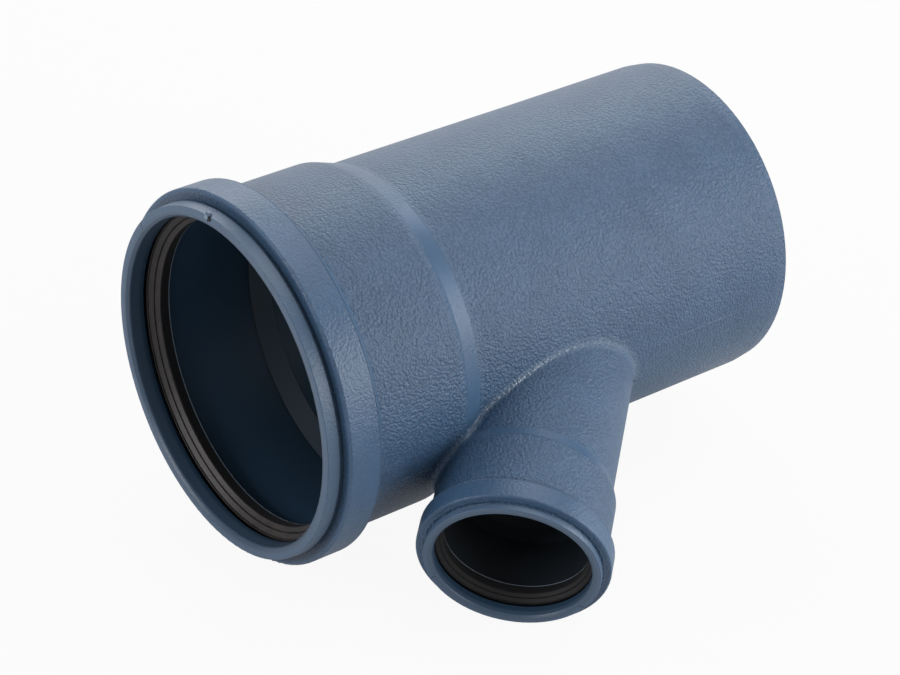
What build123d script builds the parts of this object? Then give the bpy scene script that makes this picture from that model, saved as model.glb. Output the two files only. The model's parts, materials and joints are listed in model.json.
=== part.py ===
"""A 45 degree wye for push-fit drain pipe: a 110 mm run with a 50 mm branch.

The body is one moulding: a straight run with a socket at one end and a plain spigot at the
other, and a branch with a smaller socket of its own. Each socket's head is widened round a
groove, and a rubber lip seal sits in it. The stub of the moulding gate is left on the nose of
the run. The fitting lies as it rests on a table, on the head of the run and the head of the
branch, with +X along the run from socket to spigot, +Z up, and the origin on the table under
the middle of its outline.
"""

from build123d import *
from dataclasses import dataclass
from math import asin, cos, degrees, radians, sin, sqrt, tan
import os


@dataclass
class Socket:
    """A push-fit socket, in millimetres. Depths run inwards from its mouth."""

    pipe_r: float  # outside radius of the pipe that it takes
    play: float  # radial play round that pipe
    mouth_round: float  # lead-in round of the mouth's inner edge
    rim_round: float
    nose_wall: float  # wall of the nose, in front of the groove
    nose_length: float
    nose_flare: float  # how much wider the nose is at its back than at its rim
    relief_depth: float  # shallow relief between the nose and the shoulder
    relief_slope: float
    shoulder_depth: float  # where the head steps out over the groove
    groove_depth: float  # where the seal groove starts
    groove_width: float
    groove_height: float  # radial height, from the socket's wall to the groove's floor
    groove_lean: float  # how far the front wall leans back over that height
    groove_round: float
    head_wall: float  # wall over the groove
    head_round: float
    head_tail: float  # how far the head's full width runs on behind the groove
    head_slope: float  # length of the slope down to the barrel
    barrel_wall: float
    stop_depth: float  # where the pipe's end stops
    stop_length: float
    bore_step: float  # how much smaller than the pipe, in radius, the waterway behind the stop is
    cone_lead: float  # the barrel starts to narrow outside this far in front of the stop's end
    cone_length: float
    cone_round: float

    @property
    def socket_r(self):
        return self.pipe_r + self.play

    @property
    def nose_r(self):
        return self.socket_r + self.nose_wall

    @property
    def groove_r(self):
        return self.socket_r + self.groove_height

    @property
    def groove_end(self):
        return self.groove_depth + self.groove_width

    @property
    def head_r(self):
        return self.groove_r + self.head_wall

    @property
    def barrel_r(self):
        return self.socket_r + self.barrel_wall

    @property
    def bore_r(self):
        return self.pipe_r - self.bore_step

    @property
    def stop_end(self):
        return self.stop_depth + self.stop_length

    @property
    def cone_depth(self):
        return self.stop_end - self.cone_lead


@dataclass
class Seal:
    """A lip seal's section, in millimetres, placed by the groove that it sits in."""

    seat_gap: float  # clearance to the groove's floor and back wall
    bead_gap: float  # open gap between the groove's front edge and the bead
    bead_proud: float  # how far the bead stands in from the socket's wall
    bead_width: float
    lip_depth: float  # from the bead's front to the tightest point of the lip
    lip_squeeze: float  # how much smaller than the pipe the lip is there
    lip_round: float
    notch_width: float  # shallow notch half-way down the lip's face
    notch_depth: float
    tip_depth: float  # from the bead's front to the lip's tip
    tip_squeeze: float
    tip_thickness: float
    root_back: float  # the hollow behind the lip ends this far in front of the heel's back
    root_height: float  # and this far outside the lip's tip
    heel_height: float  # radial height of the heel's back face
    edge_round: float  # of the edges that show


RUN = Socket(
    pipe_r=55.0,
    play=0.2,
    mouth_round=1.0,
    rim_round=0.3,
    nose_wall=4.35,
    nose_length=4.2,
    nose_flare=0.35,
    relief_depth=0.6,
    relief_slope=0.5,
    shoulder_depth=5.7,
    groove_depth=6.25,
    groove_width=9.35,
    groove_height=5.1,
    groove_lean=2.5,
    groove_round=0.6,
    head_wall=2.9,
    head_round=0.8,
    head_tail=1.7,
    head_slope=3.6,
    barrel_wall=3.25,
    stop_depth=48.2,
    stop_length=6.0,
    bore_step=3.4,
    cone_lead=1.6,
    cone_length=10.1,
    cone_round=5.0,
)

BRANCH = Socket(
    pipe_r=25.0,
    play=0.3,
    mouth_round=0.7,
    rim_round=0.25,
    nose_wall=3.2,
    nose_length=1.9,
    nose_flare=0.2,
    relief_depth=0.35,
    relief_slope=0.3,
    shoulder_depth=2.9,
    groove_depth=4.2,
    groove_width=4.7,
    groove_height=3.0,
    groove_lean=1.7,
    groove_round=0.4,
    head_wall=2.9,
    head_round=0.6,
    head_tail=1.2,
    head_slope=1.9,
    barrel_wall=3.5,
    stop_depth=30.2,
    stop_length=3.5,
    bore_step=1.8,
    cone_lead=3.7,
    cone_length=5.5,
    cone_round=5.0,
)

RUN_SEAL = Seal(
    seat_gap=0.3,
    bead_gap=1.2,
    bead_proud=0.2,
    bead_width=0.75,
    lip_depth=3.15,
    lip_squeeze=3.4,
    lip_round=0.4,
    notch_width=0.6,
    notch_depth=0.35,
    tip_depth=7.15,
    tip_squeeze=2.8,
    tip_thickness=1.0,
    root_back=3.2,
    root_height=1.2,
    heel_height=3.1,
    edge_round=0.2,
)

BRANCH_SEAL = Seal(
    seat_gap=0.3,
    bead_gap=0.85,
    bead_proud=0.25,
    bead_width=0.55,
    lip_depth=2.75,
    lip_squeeze=1.9,
    lip_round=0.35,
    notch_width=0.4,
    notch_depth=0.25,
    tip_depth=6.35,
    tip_squeeze=1.35,
    tip_thickness=0.8,
    root_back=0.8,
    root_height=0.9,
    heel_height=1.8,
    edge_round=0.12,
)

branch_angle = 45.0  # between the branch and the run
crotch_station = 53.1  # from the run's mouth to the front of the seam between branch and run
crotch_depth = 33.6  # from the branch's mouth to the same place
run_tail = 47.0  # from where the two axes cross to the spigot's end
neck_wall = 3.8  # wall of the branch where it meets the run
crotch_round = 1.8  # round of that seam

spigot_length = 58.0
shank_draft = 0.2  # how much wider than the spigot, in radius, the run is behind its socket
tip_length = 4.8  # chamfer of the spigot's end
tip_drop = 0.6

gate_angle = 61.5  # of the moulding gate's stub on the run's rim, about the run from its back
gate_length = 1.3
gate_width = 2.6
gate_proud = 0.6
gate_taper = 15.0

overrun = 1.0  # how far a cut runs on past the face that it opens


neck_r = BRANCH.bore_r + neck_wall
spigot_r = RUN.pipe_r
shank_r = spigot_r + shank_draft
lean_sin = sin(radians(branch_angle))
lean_tan = tan(radians(branch_angle))
branch_station = crotch_station + shank_r / lean_tan + neck_r / lean_sin
branch_reach = crotch_depth + shank_r / lean_sin + neck_r / lean_tan
run_length = branch_station + run_tail


def resting_roll():
    """The roll about the run, in degrees, at which both heads touch the table."""
    arm = (branch_reach - BRANCH.shoulder_depth - BRANCH.head_round) * lean_sin
    # With s the sine of the roll, the branch's head reaches
    # arm * s + head_r * sqrt(1 - (lean_sin * s)**2) below the run's axis,
    # and the run's own head reaches RUN.head_r.
    square = arm**2 + (BRANCH.head_r * lean_sin) ** 2
    half = RUN.head_r * arm
    rest = RUN.head_r**2 - BRANCH.head_r**2
    return degrees(asin((half - sqrt(half**2 - square * rest)) / square))


def head_outline(socket):
    """Outside of a socket from its rim to the end of its cone, as (depth, radius, round)."""
    relief_r = socket.nose_r - socket.relief_depth
    head_end = socket.groove_end + socket.head_tail
    return [
        (0, socket.nose_r - socket.nose_flare, socket.rim_round),
        (socket.nose_length, socket.nose_r, socket.rim_round),
        (socket.nose_length + socket.relief_slope, relief_r, 0),
        (socket.shoulder_depth, relief_r, 0),
        (socket.shoulder_depth, socket.head_r, socket.head_round),
        (head_end, socket.head_r, socket.head_round),
        (head_end + socket.head_slope, socket.barrel_r, 0),
        (socket.cone_depth, socket.barrel_r, socket.cone_round),
    ]


def bore_outline(socket, end):
    """Inside of a socket and of the waterway behind it, as (depth, radius, round)."""
    return [
        (-overrun, 0, 0),
        (-overrun, socket.socket_r + socket.mouth_round + overrun, 0),
        (0, socket.socket_r + socket.mouth_round, 0),
        (socket.mouth_round, socket.socket_r, socket.mouth_round),
        (socket.groove_depth, socket.socket_r, 0),
        (socket.groove_depth + socket.groove_lean, socket.groove_r, socket.groove_round),
        (socket.groove_end, socket.groove_r, socket.groove_round),
        (socket.groove_end, socket.socket_r, 0),
        (socket.stop_depth, socket.socket_r, 0),
        (socket.stop_end, socket.bore_r, 0),
        (end, socket.bore_r, 0),
        (end, 0, 0),
    ]


def seal_outline(socket, seal):
    """Section of a lip seal in its groove, as (depth, radius, round)."""
    bead = socket.groove_depth + seal.bead_gap
    bead_r = socket.socket_r - seal.bead_proud
    lip = Vector(bead + seal.lip_depth, socket.pipe_r - seal.lip_squeeze)
    brow = Vector(bead + seal.bead_width, bead_r)
    along = (lip - brow).normalized()
    notch = (lip + brow) / 2
    bottom = notch + Vector(-along.Y, along.X) * seal.notch_depth
    before = notch - along * (seal.notch_width / 2)
    after = notch + along * (seal.notch_width / 2)
    tip = bead + seal.tip_depth
    tip_r = socket.pipe_r - seal.tip_squeeze
    back = socket.groove_end - seal.seat_gap
    floor_r = socket.groove_r - seal.seat_gap
    heel_r = floor_r - seal.heel_height
    front = socket.groove_depth + socket.groove_lean + seal.bead_gap / 2
    return [
        (bead, bead_r, seal.edge_round),
        (brow.X, brow.Y, seal.edge_round),
        (before.X, before.Y, 0),
        (bottom.X, bottom.Y, 0),
        (after.X, after.Y, 0),
        (lip.X, lip.Y, seal.lip_round),
        (tip, tip_r, seal.edge_round),
        (tip, tip_r + seal.tip_thickness, seal.edge_round),
        (back - seal.root_back, tip_r + seal.tip_thickness + seal.root_height, 0),
        (back, heel_r, 0),
        (back, floor_r, 0),
        (front, floor_r, 0),
    ]


def trace(outline):
    """Draws a closed outline of (depth, radius, round) in the BuildLine that is open."""
    FilletPolyline(
        *[(depth, radius) for depth, radius, _ in outline],
        radius=[corner for _, _, corner in outline],
        close=True,
    )


# Both axes lie in one plane. Sketches on it run inwards from each mouth along X, with radii
# along Y.
roll = radians(resting_roll())
along_run = Vector(1, 0, 0)
sideways = Vector(0, -cos(roll), -sin(roll))
along_branch = sideways * lean_sin - along_run * cos(radians(branch_angle))
normal = along_run.cross(sideways)
crossing = along_run * branch_station

run_plane = Plane(origin=(0, 0, 0), x_dir=along_run, z_dir=normal)
branch_plane = Plane(
    origin=crossing + along_branch * branch_reach, x_dir=-along_branch, z_dir=normal
)
run_axis = Axis(run_plane.origin, run_plane.x_dir)
branch_axis = Axis(branch_plane.origin, branch_plane.x_dir)
spigot_start = run_length - spigot_length
gate_foot_r = RUN.nose_r - 2 * RUN.nose_flare
gate_side = -sideways * cos(radians(gate_angle)) - normal * sin(radians(gate_angle))
gate_plane = Plane(
    origin=along_run * (gate_length / 2) + gate_side * gate_foot_r, x_dir=along_run, z_dir=gate_side
)

with BuildPart() as wye_body:
    with BuildSketch(run_plane):
        with BuildLine():
            trace(
                [(0, 0, 0)]
                + head_outline(RUN)
                + [
                    (RUN.cone_depth + RUN.cone_length, shank_r, RUN.cone_round),
                    (spigot_start, spigot_r, 0),
                    (run_length - tip_length, spigot_r, 0),
                    (run_length, spigot_r - tip_drop, 0),
                    (run_length, 0, 0),
                ]
            )
        make_face()
    revolve(axis=run_axis)
    with BuildSketch(branch_plane):
        with BuildLine():
            trace(
                [(0, 0, 0)]
                + head_outline(BRANCH)
                + [
                    (BRANCH.cone_depth + BRANCH.cone_length, neck_r, BRANCH.cone_round),
                    (branch_reach, neck_r, 0),
                    (branch_reach, 0, 0),
                ]
            )
        make_face()
    revolve(axis=branch_axis)
    fillet(wye_body.edges(Select.NEW), crotch_round)
    with BuildSketch(run_plane):
        with BuildLine():
            trace(bore_outline(RUN, run_length + overrun))
        make_face()
    revolve(axis=run_axis, mode=Mode.SUBTRACT)
    with BuildSketch(branch_plane):
        with BuildLine():
            trace(bore_outline(BRANCH, branch_reach))
        make_face()
    revolve(axis=branch_axis, mode=Mode.SUBTRACT)
    with BuildSketch(gate_plane):
        Rectangle(gate_length, gate_width)
    extrude(amount=RUN.nose_r + gate_proud - gate_foot_r, taper=gate_taper)

with BuildPart() as run_seal:
    with BuildSketch(run_plane):
        with BuildLine():
            trace(seal_outline(RUN, RUN_SEAL))
        make_face()
    revolve(axis=run_axis)

with BuildPart() as branch_seal:
    with BuildSketch(branch_plane):
        with BuildLine():
            trace(seal_outline(BRANCH, BRANCH_SEAL))
        make_face()
    revolve(axis=branch_axis)

outline = wye_body.part.bounding_box()
table = Location((-outline.center().X, -outline.center().Y, -outline.min.Z))

os.makedirs("parts", exist_ok=True)
for name, piece in (("wye_body", wye_body), ("run_seal", run_seal), ("branch_seal", branch_seal)):
    piece.part.move(table)
    piece.part.label = name
    export_step(piece.part, f"parts/{name}.step")
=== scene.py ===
"""Looks for the lateral wye fitting: moulded polypropylene, two rubber seals, studio light."""

import json
import math

import bpy
from mathutils import Euler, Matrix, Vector, noise


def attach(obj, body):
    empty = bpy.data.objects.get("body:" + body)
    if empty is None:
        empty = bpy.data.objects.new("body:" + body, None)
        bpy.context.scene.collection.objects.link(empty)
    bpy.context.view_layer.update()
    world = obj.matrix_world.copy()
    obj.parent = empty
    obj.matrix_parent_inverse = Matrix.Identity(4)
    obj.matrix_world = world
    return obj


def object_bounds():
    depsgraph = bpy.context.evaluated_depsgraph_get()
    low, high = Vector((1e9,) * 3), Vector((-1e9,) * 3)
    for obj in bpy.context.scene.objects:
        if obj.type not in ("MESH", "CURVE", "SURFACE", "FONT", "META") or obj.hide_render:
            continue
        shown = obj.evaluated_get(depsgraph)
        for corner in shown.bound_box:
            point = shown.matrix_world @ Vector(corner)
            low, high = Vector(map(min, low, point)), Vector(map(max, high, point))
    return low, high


MM = 0.001
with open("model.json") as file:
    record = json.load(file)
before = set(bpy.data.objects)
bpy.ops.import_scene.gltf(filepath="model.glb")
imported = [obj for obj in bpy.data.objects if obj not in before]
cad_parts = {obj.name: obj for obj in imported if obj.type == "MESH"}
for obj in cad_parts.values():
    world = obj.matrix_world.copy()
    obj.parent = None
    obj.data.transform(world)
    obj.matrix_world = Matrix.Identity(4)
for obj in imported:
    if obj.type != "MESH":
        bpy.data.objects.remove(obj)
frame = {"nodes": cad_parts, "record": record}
cad_box = [list(map(float, corner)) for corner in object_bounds()]
mounts = {mount["name"]: mount for mount in frame["record"]["mounts"]}

# The axes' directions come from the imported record, and the run's mouth is at the box's lowest x.
# The record gives the middle of the branch's mount, and its mouth is this many mm outside that.
BRANCH_MOUNT_DEPTH = 2.595
RUN_DIR = -Vector(mounts["run_socket"]["axis"])
BRANCH_OUT = Vector(mounts["branch_socket"]["axis"])
run_mid = Vector(mounts["run_socket"]["pos_m"])
branch_mid = Vector(mounts["branch_socket"]["pos_m"])
RUN_MOUTH = Vector((cad_box[0][0], run_mid.y, run_mid.z))
BRANCH_MOUTH = branch_mid + BRANCH_OUT * BRANCH_MOUNT_DEPTH * MM
TO_BRANCH = (BRANCH_OUT - RUN_DIR * BRANCH_OUT.dot(RUN_DIR)).normalized()
NORMAL = RUN_DIR.cross(TO_BRANCH)
BRANCH_SIDE = BRANCH_OUT.cross(NORMAL)

# Sizes of the CAD in mm, repeated from its source. A depth runs inwards from its own mouth. Each
# cone is given by the depths where it starts and ends, and by the outside radii there.
RUN_CONE = (52.6, 62.7)
RUN_OUTER = (58.45, 55.2)
BRANCH_CONE = (30.0, 35.5)
BRANCH_OUTER = (28.8, 27.0)
SPIGOT_R = 55.0
SEAM_ROUND = 1.8

# Texture scales are in cells a metre. On a surface the pebbles' tops are about 1 mm apart, and
# the grain's relief comes to about 0.2 mm of this full distance.
PEBBLE_SCALE = 1150.0
FINE_SCALE = 2400.0
GRAIN_RELIEF = 0.46 * MM
SKIN_RELIEF = 0.05 * MM

# Colours are linear RGBA.
WHITE = (1.0, 1.0, 1.0, 1.0)
PLASTIC_DEEP = (0.041, 0.090, 0.168, 1.0)
PLASTIC_PALE = (0.053, 0.111, 0.200, 1.0)
PLASTIC_FLOW = (0.058, 0.110, 0.190, 1.0)
GRAIN_TOP_PAINTED_HIGHLIGHT = (0.080, 0.140, 0.232, 1.0)
GRAIN_GAP_PAINTED_SHADE = (0.018, 0.044, 0.094, 1.0)
INNER_WALL_PAINTED_SHADE = (0.021, 0.050, 0.088, 1.0)
INNER_DEPTH_PAINTED_SHADE = (0.005, 0.015, 0.027, 1.0)
NOSE_CREASE_PAINTED_SHADE = (0.016, 0.034, 0.062, 1.0)
HEAD_TAIL_PAINTED_SHADE = (0.018, 0.040, 0.082, 1.0)
DEEP_BRANCH_PAINTED_SHADE = (0.003, 0.007, 0.012, 1.0)
NOSE = (0.080, 0.126, 0.196, 1.0)
SEAM = (0.115, 0.172, 0.250, 1.0)
STUB_PAINTED_HIGHLIGHT = (0.26, 0.33, 0.40, 1.0)
DARK_MARK_AND_PAINTED_SHADOW = (0.004, 0.006, 0.009, 1.0)
RUBBER_DEEP = (0.012, 0.010, 0.010, 1.0)
RUBBER_PALE = (0.030, 0.024, 0.023, 1.0)
RUBBER_STREAK = (0.060, 0.052, 0.050, 1.0)
RUBBER_DUST = (0.090, 0.084, 0.082, 1.0)
RUBBER_PAINTED_SHADE = (0.002, 0.003, 0.005, 1.0)
LIP_PAINTED_HIGHLIGHT = (0.30, 0.37, 0.46, 1.0)
FLASH_DEEP = (0.050, 0.098, 0.172, 1.0)
FLASH_WHITENED = (0.290, 0.350, 0.430, 1.0)
FLOOR_DEEP = (0.54, 0.54, 0.55, 1.0)
FLOOR_PALE = (0.58, 0.58, 0.58, 1.0)


class Graph:
    """Builds a node material. Its methods add nodes and return an output, unless they say so."""

    def __init__(self, name):
        self.material = bpy.data.materials.new(name)
        self.material.use_nodes = True
        self.tree = self.material.node_tree
        self.shader = self.tree.nodes["Principled BSDF"]
        self.place = self.node("TexCoord").outputs["Object"]

    def node(self, kind, inputs=None, **settings):
        """Returns a new node, with its inputs linked to sockets or set to values."""
        new = self.tree.nodes.new("ShaderNode" + kind)
        for name, value in settings.items():
            setattr(new, name, value)
        for key, value in (inputs or {}).items():
            if isinstance(value, bpy.types.NodeSocket):
                self.tree.links.new(value, new.inputs[key])
            else:
                new.inputs[key].default_value = value
        return new

    def math(self, operation, *values):
        return self.node("Math", dict(enumerate(values)), operation=operation).outputs[0]

    def vector(self, operation, *values, out=0):
        inputs = dict(enumerate(values))
        return self.node("VectorMath", inputs, operation=operation).outputs[out]

    def times(self, first, second):
        return self.math("MULTIPLY", first, second)

    def plus(self, first, second):
        return self.math("ADD", first, second)

    def minus(self, first, second):
        return self.math("SUBTRACT", first, second)

    def ramp(self, value, low, high, start=0.0, end=1.0):
        """Runs smoothly from start at value low to end at value high."""
        inputs = {0: value, 1: low, 2: high, 3: start, 4: end}
        return self.node("MapRange", inputs, interpolation_type="SMOOTHSTEP").outputs[0]

    def line(self, value, limits, ends):
        """Runs straight from the first of ends to the second, as value crosses the limits."""
        inputs = {0: value, 1: limits[0], 2: limits[1], 3: ends[0], 4: ends[1]}
        return self.node("MapRange", inputs).outputs[0]

    def fade(self, value, low, high):
        """1 up to value low, falling smoothly to 0 at value high."""
        return self.ramp(value, low, high, 1.0, 0.0)

    def band(self, value, centre, half, soft):
        """1 within half of centre, falling to 0 over soft on both sides."""
        off = self.math("ABSOLUTE", self.minus(value, centre))
        return self.fade(off, half, half + soft)

    def both(self, *masks):
        """The product of the masks, so where every one of them holds."""
        result = masks[0]
        for mask in masks[1:]:
            result = self.times(result, mask)
        return result

    def either(self, *masks):
        """The greatest of the masks, so where any of them holds."""
        result = masks[0]
        for mask in masks[1:]:
            result = self.math("MAXIMUM", result, mask)
        return result

    def mix(self, factor, first, second):
        inputs = {0: factor, 6: first, 7: second}
        return self.node("Mix", inputs, data_type="RGBA", clamp_factor=True).outputs[2]

    def noise(self, scale, detail=2.0, roughness=0.5, place=None, distortion=0.0):
        inputs = {
            "Vector": place or self.place,
            "Scale": scale,
            "Detail": detail,
            "Roughness": roughness,
            "Distortion": distortion,
        }
        return self.node("TexNoise", inputs).outputs[0]

    def pebbles(self, scale, smoothness=0.6):
        """1 in the middle of each pebble, falling towards the gaps between them."""
        inputs = {"Vector": self.place, "Scale": scale, "Smoothness": smoothness}
        off = self.node("TexVoronoi", inputs, feature="SMOOTH_F1").outputs[0]
        return self.minus(1.0, off)

    def bump(self, height, distance):
        inputs = {"Height": height, "Distance": distance, "Strength": 1.0}
        return self.node("Bump", inputs).outputs[0]

    def along(self, mouth, direction):
        """Distance in mm from a mouth, measured along a direction."""
        local = self.vector("SUBTRACT", self.place, tuple(mouth))
        return self.times(self.vector("DOT_PRODUCT", local, tuple(direction), out=1), 1 / MM)

    def radius(self, mouth, direction):
        """Distance in mm from the axis through a mouth."""
        local = self.vector("SUBTRACT", self.place, tuple(mouth))
        cross = self.vector("CROSS_PRODUCT", local, tuple(direction))
        return self.times(self.vector("LENGTH", cross, out=1), 1 / MM)

    def measure(self):
        """Four outputs in mm: depth and radius by the run's axis, then by the branch's."""
        return (
            self.along(RUN_MOUTH, RUN_DIR),
            self.radius(RUN_MOUTH, RUN_DIR),
            self.along(BRANCH_MOUTH, -BRANCH_OUT),
            self.radius(BRANCH_MOUTH, BRANCH_OUT),
        )

    def near(self, point, radius, soft):
        """1 within radius mm of a point, falling to 0 over soft mm."""
        away = self.vector("DISTANCE", self.place, tuple(point), out=1)
        return self.fade(self.times(away, 1 / MM), radius, radius + soft)

    def stroke(self, start, stop, half, soft):
        """1 within half mm of the line from start to stop, falling to 0 over soft mm."""
        span = stop - start
        local = self.vector("SUBTRACT", self.place, tuple(start))
        share = self.vector("DOT_PRODUCT", local, tuple(span / span.length_squared), out=1)
        share = self.math("MINIMUM", self.math("MAXIMUM", share, 0.0), 1.0)
        inputs = {0: tuple(span), "Scale": share}
        foot = self.node("VectorMath", inputs, operation="SCALE").outputs[0]
        away = self.vector("DISTANCE", local, foot, out=1)
        return self.fade(self.times(away, 1 / MM), half, half + soft)

    def feed(self, **inputs):
        """Links outputs to the shader's sockets, or sets their values. Returns nothing."""
        for name, value in inputs.items():
            socket = self.shader.inputs[name.replace("_", " ")]
            if isinstance(value, bpy.types.NodeSocket):
                self.tree.links.new(value, socket)
            else:
                socket.default_value = value


def run_side(angle):
    """The direction out from the run's axis at an angle in degrees from the branch's side."""
    turn = math.radians(angle)
    return TO_BRANCH * math.cos(turn) + NORMAL * math.sin(turn)


def run_point(depth, radius, angle):
    """A point by its depth and radius in mm, at an angle in degrees from the branch's side."""
    return RUN_MOUTH + (RUN_DIR * depth + run_side(angle) * radius) * MM


def branch_side(angle):
    """The direction out from the branch's axis at an angle in degrees."""
    turn = math.radians(angle)
    return NORMAL * math.cos(turn) + BRANCH_SIDE * math.sin(turn)


def branch_rim(radius, angle):
    """A point on the plane of the branch's mouth, by its radius in mm and angle in degrees."""
    return BRANCH_MOUTH + branch_side(angle) * radius * MM


def polypropylene():
    """Blue-grey plastic, grained outside and smoother on heads, noses, cones and inside."""
    g = Graph("polypropylene")
    run_depth, run_r, branch_depth, branch_r = g.measure()

    # The waterways and sockets: inside a limit that lies within the thickness of each wall.
    run_wall = g.ramp(run_depth, 52.0, 57.0, 57.0, 53.4)
    branch_wall = g.ramp(branch_depth, 32.0, 36.0, 27.0, 25.0)
    in_run = g.ramp(g.minus(run_wall, run_r), -0.3, 0.3)
    in_branch = g.both(
        g.ramp(g.minus(branch_wall, branch_r), -0.3, 0.3),
        g.fade(branch_depth, 137.0, 138.0),
    )
    inside = g.either(in_run, in_branch)
    outside = g.minus(1.0, inside)

    # The smoother places, each as much as it is polished.
    noses = g.either(
        g.fade(run_depth, 4.4, 5.4),
        g.both(g.fade(branch_depth, 2.0, 2.6), g.fade(branch_r, 31.0, 32.0)),
    )
    run_head = g.both(g.fade(run_depth, 17.5, 20.5), g.ramp(run_r, 57.5, 58.0))
    branch_head = g.both(
        g.fade(branch_depth, 11.6, 12.4),
        g.ramp(branch_r, 28.9, 29.3),
        g.fade(branch_r, 36.0, 37.0),
    )
    run_cone = g.both(
        g.band(run_depth, 58.2, 2.9, 1.2),
        g.fade(run_r, 58.6, 59.2),
        g.ramp(g.noise(38.0), 0.38, 0.6, 0.45, 0.9),
    )
    branch_cone = g.both(g.band(branch_depth, 32.7, 1.6, 0.9), g.fade(branch_r, 29.4, 30.0))
    polished = g.either(
        run_cone,
        g.times(branch_cone, 0.7),
        g.times(g.either(run_head, branch_head), 0.6),
        g.times(noses, 0.75),
    )
    grained = g.both(outside, g.minus(1.0, polished))

    # Leather grain: rounded pebbles with a finer noise on them.
    pebbles = g.pebbles(PEBBLE_SCALE)
    fine = g.noise(FINE_SCALE, 3.0, 0.6)
    grain = g.plus(g.times(pebbles, 0.8), g.times(fine, 0.45))
    height = g.both(grain, g.ramp(grained, 0.0, 1.0, 0.12, 1.0), outside)
    # The heads' rear edges stand up as thin lines.
    head_edges = g.either(
        g.both(g.band(run_depth, 17.3, 0.12, 0.38), g.ramp(run_r, 60.0, 61.0)),
        g.both(
            g.band(branch_depth, 10.1, 0.10, 0.30),
            g.ramp(branch_r, 29.5, 30.2),
            g.fade(branch_r, 33.0, 34.0),
        ),
    )
    height = g.plus(height, g.times(head_edges, 0.5))
    # Inside, the walls only swirl a little.
    swirl = g.both(inside, g.noise(260.0))
    relief = g.bump(g.plus(height, g.times(swirl, 0.06)), GRAIN_RELIEF)

    # Colour of the outside: slow drifts, then a painted highlight on the grain's tops and painted
    # shade in its gaps.
    patch = g.ramp(g.noise(55.0, 4.0, 0.6), 0.3, 0.7)
    tone = g.mix(patch, PLASTIC_DEEP, PLASTIC_PALE)
    flow = g.ramp(g.noise(16.0, distortion=0.6), 0.35, 0.65)
    tone = g.mix(g.times(flow, 0.3), tone, PLASTIC_FLOW)
    # Painted highlight on the pebbles' tops, then painted shade in the gaps between them.
    tone = g.mix(g.both(grained, g.ramp(pebbles, 0.62, 0.80, 0.0, 0.35)), tone, GRAIN_TOP_PAINTED_HIGHLIGHT)
    tone = g.mix(g.both(grained, g.ramp(pebbles, 0.42, 0.60, 0.3, 0.0)), tone, GRAIN_GAP_PAINTED_SHADE)

    # Painted shade inside: the walls are coloured darker, and the run's darker still with depth.
    tone = g.mix(g.times(inside, 0.85), tone, INNER_WALL_PAINTED_SHADE)
    shade = g.both(in_run, g.ramp(run_depth, 20.0, 52.0, 0.0, 0.6))
    tone = g.mix(shade, tone, INNER_DEPTH_PAINTED_SHADE)

    # Painted shade: dark lines in the creases behind the run's nose and behind the branch's head.
    crease_shade = g.both(
        g.band(run_depth, 5.1, 0.55, 0.4),
        g.ramp(run_r, 58.0, 58.4),
        g.fade(run_r, 61.2, 62.2),
        g.ramp(fine, 0.35, 0.6, 0.85, 0.35),
    )
    tone = g.mix(crease_shade, tone, NOSE_CREASE_PAINTED_SHADE)
    tail_shade = g.both(
        g.band(branch_depth, 12.1, 0.22, 0.5),
        g.ramp(branch_r, 28.0, 28.6),
        g.fade(branch_r, 36.0, 37.0),
    )
    tone = g.mix(g.times(tail_shade, 0.55), tone, HEAD_TAIL_PAINTED_SHADE)

    # The branch behind its seal is matt and nearly black with painted shade, and the run's stop is
    # dulled and darkened with painted shade.
    deep_branch_shade = g.both(in_branch, g.ramp(branch_depth, 8.0, 12.0))
    stop_ring_shade = g.both(in_run, g.band(run_depth, 51.2, 3.4, 0.6))
    dim_painted_shade = g.either(g.times(deep_branch_shade, 0.95), g.times(stop_ring_shade, 0.4))
    tone = g.mix(dim_painted_shade, tone, DEEP_BRANCH_PAINTED_SHADE)
    tone = g.mix(g.times(noses, 0.55), tone, NOSE)

    # The seam round the branch is paler and flecked, as where the mould's core shuts off. The
    # last limit on depth keeps it off the run's far side, which the branch's axis passes through.
    seam = g.both(
        g.fade(g.minus(run_r, g.line(run_depth, RUN_CONE, RUN_OUTER)), 0.9, 2.0),
        g.fade(g.minus(branch_r, g.line(branch_depth, BRANCH_CONE, BRANCH_OUTER)), 0.9, 2.0),
        outside,
        g.ramp(branch_depth, 20.0, 26.0),
        g.fade(branch_depth, 95.0, 105.0),
        g.ramp(fine, 0.4, 0.6, 0.2, 0.65),
    )
    tone = g.mix(seam, tone, SEAM)

    # Small marks: the gate's torn stub, painted with a highlight on one side and a shadow beside
    # it, the painted shadow of a pit behind the branch, and hairlines on both rims.
    stub_highlight = g.near(run_point(-0.4, 58.5, 240.7), 0.75, 0.35)
    tone = g.mix(g.both(stub_highlight, g.ramp(fine, 0.4, 0.6, 0.4, 0.95)), tone, STUB_PAINTED_HIGHLIGHT)
    # The stub's two spots and the pit are painted shadow; the hairlines are the rims' own marks.
    dark_marks_and_shadows = [
        g.near(run_point(-0.2, 58.5, 242.7), 0.85, 0.25),
        g.near(run_point(0.0, 57.6, 241.7), 0.35, 0.25),
        g.near(run_point(130.2, 55.3, 358.0), 0.45, 0.5),
    ]
    for angle in (71.0, 308.0):
        hairline = g.stroke(branch_rim(26.2, angle), branch_rim(28.2, angle + 1.0), 0.09, 0.14)
        dark_marks_and_shadows.append(g.times(hairline, 0.7))
    start, stop = run_point(0.0, 56.6, 196.5), run_point(0.0, 58.6, 197.2)
    dark_marks_and_shadows.append(g.times(g.stroke(start, stop, 0.12, 0.2), 0.7))
    marks_and_painted_shadows = g.either(*dark_marks_and_shadows)
    tone = g.mix(marks_and_painted_shadows, tone, DARK_MARK_AND_PAINTED_SHADOW)

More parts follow.
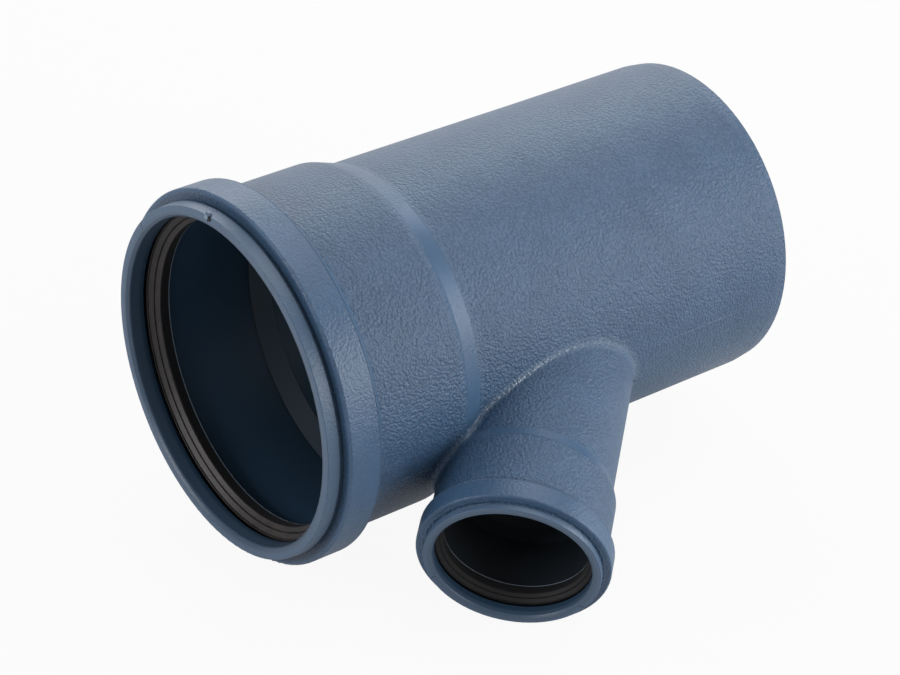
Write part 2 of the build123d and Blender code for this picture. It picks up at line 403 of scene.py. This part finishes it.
    matt = g.either(marks_and_painted_shadows, dim_painted_shade, g.times(shade, 0.3))
    rough = g.plus(g.times(fine, 0.14), g.ramp(matt, 0.0, 1.0, 0.31, 0.80))
    g.feed(Base_Color=tone, Roughness=rough, Normal=relief)
    g.feed(Specular_IOR_Level=0.5, IOR=1.49)
    return g.material


def seal_rubber():
    """Brown-black rubber, matt under the lips and over the branch's seal, where painted shade makes
    it blacker.
    """
    g = Graph("seal_rubber")
    run_depth, run_r, branch_depth, branch_r = g.measure()

    # Smears, streaks and dust.
    smear = g.noise(90.0, 4.0, 0.6)
    tone = g.mix(g.ramp(smear, 0.3, 0.7), RUBBER_DEEP, RUBBER_PALE)
    stretched = g.vector("MULTIPLY", g.place, (9.0, 1.0, 1.0))
    streaks = g.ramp(g.noise(420.0, 2.0, 0.6, place=stretched), 0.5, 0.7, 0.0, 0.4)
    tone = g.mix(streaks, tone, RUBBER_STREAK)
    dust = g.ramp(g.noise(1900.0, 3.0, 0.65), 0.62, 0.78, 0.0, 0.2)
    tone = g.mix(dust, tone, RUBBER_DUST)

    # Painted shade: the rubber under the lips and the branch's whole seal are coloured nearly
    # black.
    under = g.either(
        g.both(g.ramp(run_depth, 10.9, 11.3), g.fade(run_r, 54.0, 54.5)),
        g.both(g.ramp(branch_depth, 7.9, 8.2), g.fade(branch_r, 25.2, 25.6)),
    )
    small_seal_shade = g.ramp(branch_r, 31.0, 33.0, 0.85, 0.0)
    tone = g.mix(g.either(g.times(under, 0.95), small_seal_shade), tone, RUBBER_PAINTED_SHADE)

    # A painted highlight: a thin pale line along the lips' tips, where their edges catch the light.
    lip_tip_highlight = g.either(
        g.both(g.band(run_depth, 14.6, 0.22, 0.3), g.fade(run_r, 52.9, 53.4)),
        g.both(g.band(branch_depth, 11.4, 0.2, 0.25), g.fade(branch_r, 24.2, 24.6)),
    )
    tone = g.mix(lip_tip_highlight, tone, LIP_PAINTED_HIGHLIGHT)

    rough = g.plus(g.times(smear, 0.22), g.ramp(under, 0.0, 1.0, 0.38, 0.85))
    rough = g.plus(rough, g.times(small_seal_shade, 0.25))
    relief = g.bump(g.noise(700.0, 3.0, 0.6), SKIN_RELIEF)
    g.feed(Base_Color=tone, Roughness=rough, Normal=relief)
    g.feed(Specular_IOR_Level=0.5)
    return g.material


def flash_plastic():
    """Thin flash of the same plastic, paler where it is stretched."""
    g = Graph("polypropylene_flash")
    fleck = g.noise(1500.0, 3.0, 0.6)
    tone = g.mix(g.ramp(fleck, 0.42, 0.60), FLASH_DEEP, FLASH_WHITENED)
    rough = g.plus(g.times(fleck, 0.2), 0.3)
    g.feed(Base_Color=tone, Roughness=rough, Normal=g.bump(fleck, SKIN_RELIEF))
    return g.material


def studio_floor():
    """A pale floor that keeps the shadow, and that the camera and gloss see nearer to white."""
    g = Graph("studio_floor")
    tone = g.mix(g.noise(9.0), FLOOR_DEEP, FLOOR_PALE)
    g.feed(Base_Color=tone, Roughness=0.9, Specular_IOR_Level=0.0)
    paths = g.node("LightPath")
    mirrored = g.times(paths.outputs["Is Glossy Ray"], 0.35)
    seen = g.times(g.either(paths.outputs["Is Camera Ray"], mirrored), 0.93)
    glow = g.node("Emission", {"Color": WHITE, "Strength": 1.0}).outputs[0]
    blend = g.node("MixShader", {0: seen, 1: g.shader.outputs[0], 2: glow})
    output = next(n for n in g.tree.nodes if n.type == "OUTPUT_MATERIAL")
    g.tree.links.new(blend.outputs[0], output.inputs["Surface"])
    return g.material


def dress(name, material):
    """Gives a CAD node its only material."""
    slots = frame["nodes"][name].data.materials
    slots.clear()
    slots.append(material)


def tube(name, rings, material):
    """A closed skin over rings of points, with both ends capped."""
    count = len(rings[0])
    last = (len(rings) - 1) * count
    faces = [tuple(reversed(range(count))), tuple(range(last, last + count))]
    for this in range(0, last, count):
        following = this + count
        for j in range(count):
            k = (j + 1) % count
            faces.append((this + j, this + k, following + k, following + j))
    mesh = bpy.data.meshes.new(name)
    mesh.from_pydata([tuple(point) for ring in rings for point in ring], [], faces)
    mesh.validate()
    mesh.shade_smooth()
    mesh.materials.append(material)
    piece = bpy.data.objects.new(name, mesh)
    bpy.context.scene.collection.objects.link(piece)
    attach(piece, "root")
    return piece


def ridge(name, depths, radius, angle, width, height, material):
    """A thin raised line of moulding flash along the run, between two depths. Sizes in mm."""
    steps, sunk = 24, 0.1
    out = run_side(angle)
    side = RUN_DIR.cross(out) * width / 2 * MM
    rings = []
    for i in range(steps + 1):
        share = i / steps
        base = run_point(depths[0] + (depths[1] - depths[0]) * share, radius, angle)
        swell = 0.15 + 0.85 * math.sin(math.pi * share) ** 0.35
        foot = base - out * sunk * MM
        top = base + out * height * swell * MM
        rings.append([foot - side * swell, top, foot + side * swell])
    return tube(name, rings, material)


def off_run(point):
    """How many mm a point is outside the run's wall, and the direction out from the axis."""
    local = point - RUN_MOUTH
    depth = local.dot(RUN_DIR) / MM
    share = (depth - RUN_CONE[0]) / (RUN_CONE[1] - RUN_CONE[0])
    outer = RUN_OUTER[0] + (RUN_OUTER[1] - RUN_OUTER[0]) * min(max(share, 0.0), 1.0)
    out = local - RUN_DIR * local.dot(RUN_DIR)
    return out.length / MM - outer, out.normalized()


def seam_point(angle, lift):
    """The point at an angle about the branch that is lift mm off the branch and off the run."""
    side = branch_side(angle)
    near, far = 15.0, 110.0
    for _ in range(40):
        depth = (near + far) / 2
        on_axis = BRANCH_MOUTH - BRANCH_OUT * depth * MM
        point = on_axis + side * (BRANCH_OUTER[1] + lift) * MM
        if off_run(point)[0] > lift:
            near = depth
        else:
            far = depth
    return point


def seam_bead(material):
    """The rough raised bead along the front of the seam between branch and run."""
    sides, steps = 14, 420
    first_angle, last_angle = 266.0, 140.0
    sunk, core, thickness = 0.80, 0.10, 1.15
    probe, probe_turn = 0.5, 0.3
    rings = []
    for i in range(steps + 1):
        share = i / steps
        angle = first_angle + (last_angle - first_angle) * share
        run_out, side = off_run(seam_point(angle, probe))[1], branch_side(angle)
        # Where the two walls meet at a wider angle, the round's face is nearer to their corner.
        half = (math.pi - run_out.angle(side)) / 2
        centre = seam_point(angle, SEAM_ROUND * (1 - math.sin(half)) - sunk)
        before, after = seam_point(angle + probe_turn, probe), seam_point(angle - probe_turn, probe)
        ahead = (after - before).normalized()
        up = (run_out + side).normalized()
        across = ahead.cross(up).normalized()
        # The bead swells up over its first 6 percent, and thins to a quarter from 45 on.
        thinned = min(1.0, max(0.0, (share - 0.45) / 0.5))
        swell = min(1.0, share / 0.06) * (1.0 - 0.75 * thinned)
        ring = []
        for j in range(sides):
            turn = 2 * math.pi * j / sides
            out = up * math.cos(turn) + across * math.sin(turn)
            place = centre + out * 0.9 * MM
            rough = noise.noise(place * 1300.0) * 0.5 + noise.noise(place * 420.0) * 0.2
            ring.append(centre + out * (core + (thickness + rough) * swell) * MM)
        rings.append(ring)
    return tube("seam_bead", rings, material)


def softbox(name, azimuth, elevation, distance, size, brightness):
    """A rectangular lamp that looks at the fitting from a direction given in degrees."""
    data = bpy.data.lights.new(name, "AREA")
    data.shape = "RECTANGLE"
    data.size, data.size_y = size
    data.energy = brightness * math.pi * size[0] * size[1]
    lamp = bpy.data.objects.new(name, data)
    turn, rise = math.radians(azimuth), math.radians(elevation)
    level = math.cos(rise)
    away = Vector((math.cos(turn) * level, math.sin(turn) * level, math.sin(rise)))
    target = Vector((0, 0, 0.06))
    lamp.location = target + away * distance
    lamp.rotation_euler = away.to_track_quat("Z", "Y").to_euler()
    bpy.context.scene.collection.objects.link(lamp)


def studio_world(scene):
    """A dim white world that the camera sees as white."""
    world = bpy.data.worlds.new("studio")
    world.use_nodes = True
    scene.world = world
    tree = world.node_tree
    background = tree.nodes["Background"]
    paths = tree.nodes.new("ShaderNodeLightPath")
    strength = tree.nodes.new("ShaderNodeMapRange")
    tree.links.new(paths.outputs["Is Camera Ray"], strength.inputs["Value"])
    strength.inputs["To Min"].default_value = 0.26
    strength.inputs["To Max"].default_value = 1.0
    background.inputs["Color"].default_value = WHITE
    tree.links.new(strength.outputs[0], background.inputs["Strength"])


def studio():
    """The world, the floor, four softboxes, and the camera at the photo's place and angle."""
    scene = bpy.context.scene
    scene.view_settings.view_transform = "Standard"
    studio_world(scene)

    # The floor is half a millimetre low, so that the fitting doesn't share its plane.
    half = 4.0
    corners = [(-half, -half, 0), (half, -half, 0), (half, half, 0), (-half, half, 0)]
    mesh = bpy.data.meshes.new("floor")
    mesh.from_pydata(corners, [], [(0, 1, 2, 3)])
    mesh.materials.append(studio_floor())
    floor = bpy.data.objects.new("floor", mesh)
    floor.location.z = -0.0005
    scene.collection.objects.link(floor)

    softbox("right_softbox", -50, 18, 1.3, (1.5, 0.62), 5.8)
    softbox("back_softbox", 58, 26, 1.5, (2.0, 1.0), 2.6)
    softbox("top_softbox", 10, 70, 1.4, (1.0, 1.0), 2.5)
    softbox("left_softbox", 168, 20, 1.4, (0.9, 0.5), 6.6)

    lens = bpy.data.cameras.new("camera")
    lens.sensor_width = 36.0
    lens.lens = 119.28
    camera = bpy.data.objects.new("camera", lens)
    camera.location = (-0.53272, -0.61808, 0.60917)
    camera.rotation_euler = Euler([math.radians(a) for a in (55.9262, -3.1925, -37.2809)])
    scene.collection.objects.link(camera)
    scene.camera = camera


dress("wye_body", polypropylene())
rubber = seal_rubber()
dress("run_seal", rubber)
dress("branch_seal", rubber)
flash = flash_plastic()
ridge("barrel_flash", (29.0, 45.5), RUN_OUTER[0], 354.75, 0.45, 0.12, flash)
ridge("spigot_flash", (143.0, 171.0), SPIGOT_R, 343.1, 0.35, 0.06, flash)
seam_bead(flash)
studio()
